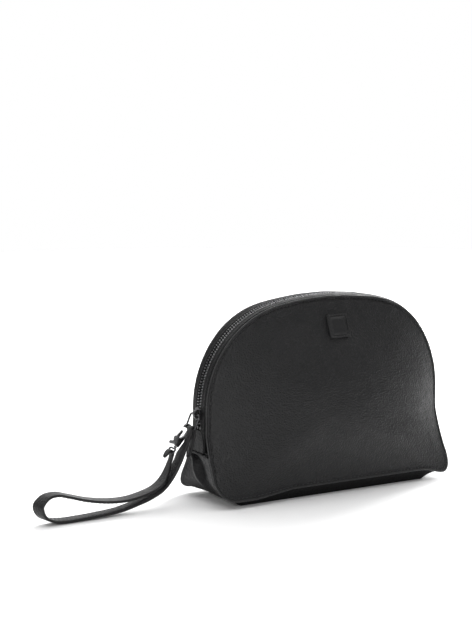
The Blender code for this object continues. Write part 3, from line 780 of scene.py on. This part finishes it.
def zip_facings():
    """The leather strips beside the zip, folded under at the tape and stitched down."""
    path = split_outline(130, True)
    outer = TOP_HALF_DEPTH - PIPING_R - GAP
    rounded = [(FACING_EDGE + 0.0001, -0.0007), (FACING_EDGE, -0.0003), (FACING_EDGE + 0.0003, 0.0001),
               (FACING_EDGE + 0.0009, 0.0003), (FACING_EDGE + 0.0016, 0.00015), (0.0060, -0.0001),
               (0.0076, 0.0001), (outer - 0.0008, 0.0000), (outer, -0.0004)]
    for label, side in HALVES:
        def profile(x, z, side=side):
            wave = 0.00025 * noise.noise((x * 50, z * 50, side * 3.0))
            return [(side * y, rise + wave) for y, rise in rounded]
        obj = strip(label + "_facing_skin", LEATHER_TRIM, path, profile, LEATHER * 0.8)
        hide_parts(label + "_zip_facing")
        normals = outward(path)
        line = [settle((x + nx * 0.0002, side * (FACING_EDGE + 0.0017), z + nz * 0.0002))
                for (x, z), (nx, nz) in zip(path, normals)]
        outs = [Vector((nx, 0, nz)) for nx, nz in normals]
        row = stitches(label + "_facing_stitches", line, outs, "bag", radius=FINE_STITCH_R)


# Distance from the middle, length, underside and top of each cut through a tooth, from its foot to its head
TOOTH_CUTS = ((CHAIN_HALF + 0.0002, 0.80, -0.00110, 0.00055), (CHAIN_HALF - 0.0002, 1.0, -0.00115, 0.00105),
              (0.0017, 1.0, -0.00110, 0.00125), (0.0012, 0.80, -0.00080, 0.00115),
              (CHAIN_SLOT + 0.0001, 0.70, -0.00050, 0.00080))
TOOTH_ROUND = 0.0003
TOOTH_SIDES = 8


def tooth_block(verts, faces, centre, ahead, out, side):
    """One zip tooth: a rounded block that grips the tape, with a narrower head towards the middle."""
    across = Vector((0, side, 0))
    base = len(verts)
    for y, share, low, high in TOOTH_CUTS:
        edges = (-0.7, low), (0.7, low), (1.0, low + TOOTH_ROUND), (1.0, high - TOOTH_ROUND)
        edges += (0.6, high), (-0.6, high), (-1.0, high - TOOTH_ROUND), (-1.0, low + TOOTH_ROUND)
        for u, v in edges:
            verts.append(centre + across * y + ahead * (u * TOOTH_HALF * share) + out * v)
    faces += quads(len(TOOTH_CUTS), TOOTH_SIDES, base)
    last = len(verts) - TOOTH_SIDES
    faces.append(tuple(base + a for a in reversed(range(TOOTH_SIDES))))
    faces.append(tuple(last + a for a in range(TOOTH_SIDES)))


def zip_chain():
    """Two rows of teeth, set half a pitch apart, down to the stop under the slider."""
    start_z = SLIDER_Z - SLIDER_L / 2 - 0.004
    path = split_outline(400, True, start_z)
    normals = outward(path)
    length = running_length(path)
    count = int(length[-1] / TOOTH_PITCH)
    for label, side in HALVES:
        verts, faces = [], []
        k = 0
        for i in range(count):
            want = (i + (0.25 if side > 0 else 0.75)) * length[-1] / count
            while k < len(path) - 2 and length[k + 1] < want:
                k += 1
            part = (want - length[k]) / (length[k + 1] - length[k])
            x, z = (a + (b - a) * part for a, b in zip(path[k], path[k + 1]))
            nx, nz = normals[k]
            out = Vector((nx, 0, nz))
            tooth_block(verts, faces, Vector((x, 0, z)), Vector((nz, 0, -nx)), out, side)
        obj = add_mesh(label + "_teeth", verts, faces, "bag", TOOTH_METAL)
        obj.data.set_sharp_from_angle(angle=math.radians(45))
        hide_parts(label + "_zip_teeth")


def zip_tapes():
    """The woven tapes under the teeth and the facings."""
    path = split_outline(150, True)
    bead = [(CHAIN_SLOT + GAP, -0.0016), (CHAIN_SLOT + 0.0006, -0.00125), (0.0020, -0.0012),
            (0.0030, -0.0014), (0.0050, -0.0015), (0.0085, -0.0015)]
    for label, side in HALVES:
        def profile(x, z, side=side):
            return [(side * y, rise) for y, rise in bead]
        obj = strip(label + "_tape_weave", TAPE, path, profile, TAPE_T)
        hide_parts(label + "_zip_tape")


# Where the side crease lies: share of the height down the side, share of the half depth towards the back
CREASE = ((0.0, 0.95), (0.12, 0.70), (0.26, 0.30), (0.68, -0.10), (1.0, -0.62))
CREASE_DEPTH = 0.0040
CREASE_RIDGE = 0.0019
SIDE_HOLLOW = 0.0016
BASE_COLUMNS = 60
BASE_UNEVEN = 0.0007
BASE_RIM = 0.00035


def base_lift(x, z, y):
    """The base comes down to the floor; a crease runs down each side from the back to the front corner."""
    edge = seam_depth(z) - PIPING_R - GAP
    across = min(abs(y) / edge, 1.0)
    flat = SEAM_Z * min(1.0, (1 - across) / 0.22)
    toe = side_x(SEAM_Z) - CORNER_R
    under = clamp((toe + 0.008 - abs(x)) / 0.016)
    height = clamp((ZIP_END_Z - z) / (ZIP_END_Z - SEAM_Z))
    u = y / edge
    crease = 0.95
    for (h0, u0), (h1, u1) in zip(CREASE, CREASE[1:]):
        if h0 <= height <= h1:
            crease = u0 + (u1 - u0) * (height - h0) / (h1 - h0)
    near = u - crease
    valley = -CREASE_DEPTH * hump(near / (0.13 if near > 0 else 0.42))
    ridge = CREASE_RIDGE * hump((near - 0.22) / 0.13)
    hollow = -SIDE_HOLLOW * (1 - across ** 2)
    fold = (valley + ridge + hollow) * math.sin(math.pi * min(height * 1.05, 1.0)) ** 0.7 * (1 - across ** 8)
    return flat * under ** 1.5 + fold


def base_gusset():
    """The wide base band: flat underneath, and creased inwards up the middle of each side."""
    path = split_outline(110, False)

    def profile(x, z):
        edge = seam_depth(z) - PIPING_R - GAP
        side = clamp((abs(x) - 0.090) / 0.015)
        rows = []
        for j in range(BASE_COLUMNS + 1):
            y = edge * (2 * j / BASE_COLUMNS - 1)
            rise = base_lift(x, z, y)
            rise += side * BASE_UNEVEN * noise.noise((x * 40, y * 70, z * 70)) * (1 - (abs(y) / edge) ** 4)
            if z > SEAM_Z + 0.002:
                rise += BASE_RIM * hump((edge - abs(y) - 0.0012) / 0.0010)
            rows.append((y, rise))
        return rows

    obj = strip("base_gusset_skin", LEATHER_BASE, path, profile, LEATHER)
    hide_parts("base_gusset")


def end_seams():
    """The rolled seam where the zip gusset meets the base gusset at each end."""
    for label, sign in (("left", -1), ("right", 1)):
        half = seam_depth(ZIP_END_Z) - 0.0012
        height = ZIP_END_Z - 0.0030
        x = sign * (side_x(height) + 0.0004)
        line = [settle((x, half * (j / 12 - 1), height + 0.0003 * math.sin(j * 0.9))) for j in range(25)]
        roll = tube(label + "_end_roll", line, END_ROLL_R, "bag", LEATHER_TRIM, 4, cyclic=False)


def end_tabs():
    """The leather tabs over both ends of the zip."""
    for label in ("left_end_tab", "right_end_tab"):
        tab = bevelled_copy(label, "bag", LEATHER_TRIM, 0.0004)


def face_depth(z):
    """How far the front of the panel is from the middle plane, above or below its centre."""
    edge = seam_depth(z)
    reach = abs(z - PANEL_CENTRE_Z) / (TOP_Z - PANEL_CENTRE_Z)
    return edge + (middle_depth(z) - edge) * (1 - reach ** PUFF_CURVE)


# Share of the badge's size and height over its back, from the back edge over the pressed border to the middle
BADGE_RINGS = ((1.0, -0.0004), (1.0, 0.0012), (0.985, 0.0016), (0.955, 0.00175), (0.84, 0.00175),
               (0.815, 0.0013), (0.785, 0.0013), (0.76, 0.0017), (0.5, 0.00178), (0.2, 0.0018))
BADGE_POINTS = 48
BADGE_SQUARE = 12            # exponent of the rounded square


def badge():
    """The blank leather patch, with a pressed border and a row of stitches round it."""
    slope = (face_depth(BADGE_Z + BADGE_HALF) - face_depth(BADGE_Z - BADGE_HALF)) / (2 * BADGE_HALF)
    up = Vector((0, -slope, 1)).normalized()
    out = Vector((0, -up.z, up.y))
    centre = Vector((BADGE_X, -face_depth(BADGE_Z), BADGE_Z)) + out * BADGE_RAISE
    verts = []
    for scale, height in BADGE_RINGS:
        for k in range(BADGE_POINTS):
            turn = 2 * math.pi * (k + 0.5) / BADGE_POINTS
            c, t = math.cos(turn), math.sin(turn)
            round_square = (abs(c) ** BADGE_SQUARE + abs(t) ** BADGE_SQUARE) ** (1 / BADGE_SQUARE)
            size = BADGE_HALF * scale / round_square
            verts.append(centre + Vector((c * size, 0, 0)) + up * (t * size) + out * height)
    faces = quads(len(BADGE_RINGS), BADGE_POINTS)
    faces.append(tuple((len(BADGE_RINGS) - 1) * BADGE_POINTS + k for k in range(BADGE_POINTS)))
    faces.append(tuple(reversed(range(BADGE_POINTS))))
    patch = add_mesh("badge_patch", verts, faces, "bag", LEATHER_BADGE)
    patch.data.set_sharp_from_angle(angle=math.radians(60))
    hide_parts("badge")
    line = []
    reach = BADGE_HALF * 0.90
    for x0, z0, x1, z1 in ((-1, -1, 1, -1), (1, -1, 1, 1), (1, 1, -1, 1), (-1, 1, -1, -1)):
        for k in range(8):
            u, v = x0 + (x1 - x0) * k / 8, z0 + (z1 - z0) * k / 8
            line.append(centre + Vector((u * reach, 0, 0)) + up * (v * reach) + out * BADGE_FACE)
    line.append(line[0])
    row = stitches("badge_stitches", line, [out] * len(line), "bag", length=0.0017, radius=0.00018,
                   pitch=0.0026)


# ---------------------------------------------------------------- slider, ring and clasp
# Node, body and width of the rounded edges
METAL_PARTS = (("slider_body", "slider", 0.00035), ("slider_bridge", "slider", 0.0003),
               ("clasp_body", "clasp", 0.00035), ("clasp_lever", "lever", 0.00022),
               ("lever_pin", "clasp", 0.00012), ("swivel_post", "strap", 0.0002),
               ("front_top_stop", "bag", 0.00025), ("back_top_stop", "bag", 0.00025),
               ("bottom_stop", "bag", 0.00025))


def hardware():
    for node, body, width in METAL_PARTS:
        look = CLASP_METAL if body in ("clasp", "lever") else GUNMETAL
        piece = bevelled_copy(node, body, look, width)


def pull_ring():
    """The wire ring: a rectangle with rounded corners from the slider's bridge to the strap."""
    down = RING_END - RING_PIVOT
    marks = []
    for t, half in ((0.0, RING_HALF), (1.0, RING_HALF * 0.98)):
        for side in ((-1, 1) if t == 0.0 else (1, -1)):
            base = RING_PIVOT + down * t
            inward = down.normalized() * RING_CORNER * (1 if t == 0.0 else -1)
            across = Vector((0, side, 0))
            arc = []
            for k in range(7):
                turn = math.radians(90 * k / 6)
                aside = half - RING_CORNER * (1 - math.sin(turn))
                arc.append(base + across * aside + inward * (1 - math.cos(turn)))
            marks += arc if (t == 0.0) == (side > 0) else list(reversed(arc))
    obj = tube("ring_wire", marks, WIRE_R, "ring", GUNMETAL)
    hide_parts("pull_ring")


def clasp_eye():
    """The wire eye between the clasp's swivel post and the strap."""
    low = BODY_END + 0.0016 + GAP + WIRE_R + EYE_CORNER
    high = EYE_BAR - EYE_CORNER
    side = EYE_HALF - EYE_CORNER
    points = []
    for start, (along, across) in enumerate(((high, side), (low, side), (low, -side), (high, -side))):
        for k in range(6):
            turn = math.radians(90 * start + 90 * k / 5)
            u = along + EYE_CORNER * math.cos(turn)
            v = CLASP_Y + across + EYE_CORNER * math.sin(turn)
            points.append(RING_END + CLASP_AXIS * u + Vector((0, v, 0)))
    obj = tube("eye_wire", points, WIRE_R, "strap", GUNMETAL)
    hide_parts("clasp_eye")


# ---------------------------------------------------------------- strap
# Middle of the band in millimetres, from the clasp's eye round the loop and back to the ring
STRAP_ROUTE = [
    (-138.8, 36.4), (-144.5, 27.0), (-152.0, 19.6), (-162.2, 15.2), (-179.5, 12.0), (-197.0, 12.6),
    (-215.0, 16.0), (-232.0, 21.2), (-240.8, 23.6), (-249.5, 22.8), (-255.6, 17.8), (-256.4, 13.0),
    (-253.0, 7.0), (-245.5, 3.2), (-236.0, 1.8), (-224.0, 1.8), (-206.5, 2.4), (-188.5, 3.8), (-172.5, 7.2),
    (-160.0, 11.0), (-149.4, 16.2), (-141.2, 24.6), (-134.4, 35.4), (-128.9, 47.4), (-125.8, 55.8),
]
ROLL = {9: 0.20, 10: 0.34, 11: 0.36, 12: 0.26, 13: 0.12}     # sideways lean at marks of the route
STRAP_STEPS = 12             # points from one mark to the next
EDGE_POINTS = 7              # round each painted edge
EDGE_ROUND = 0.75            # how deep that edge is, as a share of half the thickness
END_THINNING = 0.28          # how much thinner the band is where it is skived to fold over
SEAM_IN = 0.0017             # from the edge to the row of stitches
FOLD_GAP = 0.0002


def fold(centre, radius, first, last):
    """Points round a wire, between two angles in degrees."""
    turns = [math.radians(first + (last - first) * k / 4) for k in range(5)]
    return [centre + Vector((radius * math.cos(a), 0.0, radius * math.sin(a))) for a in turns]


def strap_line():
    """Middle line, turn, width and thickness at each step of the strap."""
    loop = [Vector((x * 0.001, 0.0, z * 0.001)) for x, z in STRAP_ROUTE]
    fold_r = WIRE_R + GAP + FOLD_GAP + BAND_T * (1 - END_THINNING) / 2
    eye = RING_END + CLASP_AXIS * EYE_BAR
    start = [eye + CLASP_AXIS * 0.0060 + CLASP_SIDE * fold_r] + fold(eye, fold_r, 140, -40)
    tail = [Vector((-0.1213, 0.0, 0.0560)), Vector((-0.1232, 0.0, 0.0480)), Vector((-0.1262, 0.0, 0.0395))]
    marks = start + loop + fold(RING_END, fold_r, 205, -15) + tail
    line = smooth_route(marks, STRAP_STEPS)
    first, last = len(start), len(start) + len(loop)
    rows = []
    for i, p in enumerate(line):
        mark = i / STRAP_STEPS
        near = int(mark)
        part = mark - near
        roll = ROLL.get(near - first, 0.0) * (1 - part) + ROLL.get(near + 1 - first, 0.0) * part
        to_ring = clamp((mark - last + 2.4) / 0.9)
        to_eye = clamp((first + 1.5 - mark) / 1.5)
        width = BAND_W + (TAB_W - BAND_W) * to_ring + (EYE_W - BAND_W) * to_eye
        thick = BAND_T * (1 - END_THINNING * max(to_ring, to_eye))
        aside = TAB_Y * to_ring + CLASP_Y * to_eye
        rows.append((p + Vector((0, aside, 0)), roll, width, thick))
    return rows


def strap():
    """Two bonded layers of leather with rounded painted edges, sewn along both sides."""
    rows = strap_line()
    count = len(rows)
    around = 2 * EDGE_POINTS
    section = []
    for side in (1, -1):
        for k in range(EDGE_POINTS):
            turn = math.radians(180 * k / (EDGE_POINTS - 1) - 90 * side)
            section.append((side, math.cos(turn), math.sin(turn)))
    verts, outs, lines = [], [], {1: [], -1: []}
    for i, (p, roll, width, thick) in enumerate(rows):
        ahead = rows[min(i + 1, count - 1)][0] - rows[max(i - 1, 0)][0]
        ahead = Vector((ahead.x, 0.0, ahead.z)).normalized()
        across = Vector((-roll, math.sqrt(1 - roll * roll), 0.0))
        across = (across - ahead * across.dot(ahead)).normalized()
        out = ahead.cross(across)
        end = min(i, count - 1 - i) / (STRAP_STEPS * 0.8)
        half = width / 2 * math.sqrt(max(0.02, 1 - (1 - min(end, 1.0)) ** 2))
        edge = thick / 2 * EDGE_ROUND
        for side, c, up in section:
            y = side * (half - edge) + c * edge
            verts.append(p + across * y + out * (up * thick / 2))
        for side in lines:
            lines[side].append(p + across * (side * (half - SEAM_IN)) + out * (thick / 2))
        outs.append(out)
    faces = quads(count, around)
    faces.append(tuple(reversed(range(around))))
    faces.append(tuple((count - 1) * around + k for k in range(around)))
    obj = add_mesh("strap_skin", verts, faces, "strap", SHEENED_BAND_FACE)
    obj.data.materials.append(EDGE_PAINT)
    for i in range(count - 1):
        for k in range(around):
            if k % EDGE_POINTS != EDGE_POINTS - 1:
                obj.data.polygons[i * around + k].material_index = 1
    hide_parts("strap_band")
    inner = slice(7 * STRAP_STEPS, count - 13 * STRAP_STEPS)
    for label, side in (("back", 1), ("front", -1)):
        row = stitches("strap_stitches_" + label, lines[side][inner], outs[inner], "strap",
                       radius=FINE_STITCH_R)


# ---------------------------------------------------------------- hidden layers
def hidden_layers():
    """Materials for the layers inside, which keep their plain shapes."""
    for node, look in (("front_foam", FOAM), ("back_foam", FOAM), ("front_lining", LINING),
                       ("back_lining", LINING), ("base_lining", LINING), ("front_zip_lining", LINING),
                       ("back_zip_lining", LINING), ("base_board", FOAM)):
        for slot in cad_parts[node].material_slots:
            slot.material = look


make_camera()
make_studio()
panel("front", 1)
panel("back", -1)
zip_facings()
zip_tapes()
zip_chain()
base_gusset()
end_seams()
end_tabs()
badge()
hardware()
pull_ring()
clasp_eye()
strap()
hidden_layers()
